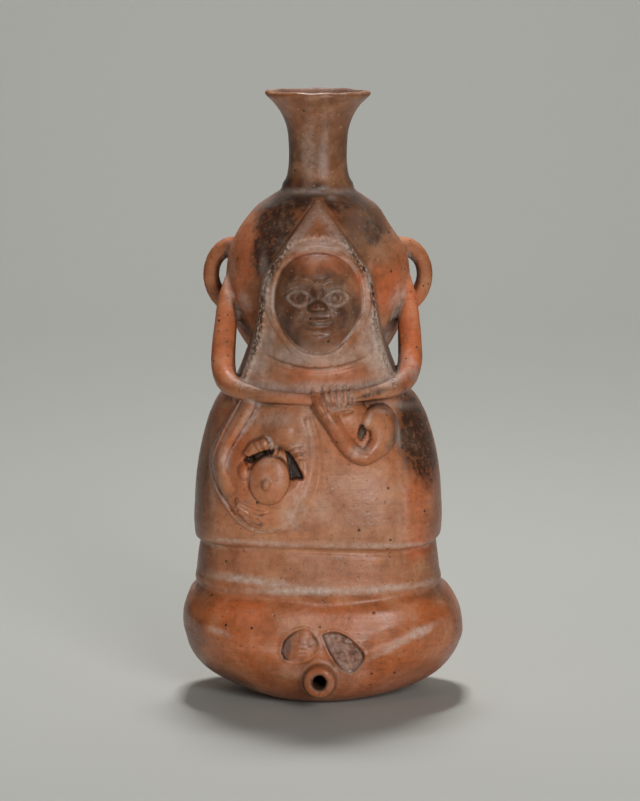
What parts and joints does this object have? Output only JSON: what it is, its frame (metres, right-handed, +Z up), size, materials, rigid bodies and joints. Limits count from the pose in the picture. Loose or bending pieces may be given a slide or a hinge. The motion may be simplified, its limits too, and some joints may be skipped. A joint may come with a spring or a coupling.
{
  "type": "figural pouring vessel",
  "caption": "Hollow fired-clay paccha shaped as a seated, hooded figure carrying a round jar and cradling a child; liquid enters at the jar's mouth and leaves by a small spout.",
  "frame": {"origin": "centre of the flat resting spot on the underside", "axes": "+Z up to the jar's mouth, -Y the way the figure faces and the spout points, +X to the figure's left"},
  "size_m": [0.1222, 0.1057, 0.26],
  "materials": {
    "fired_clay": "burnished"
  },
  "bodies": {
    "root": {"paccha_vessel": "fired_clay"}
  },
  "joints": []
}
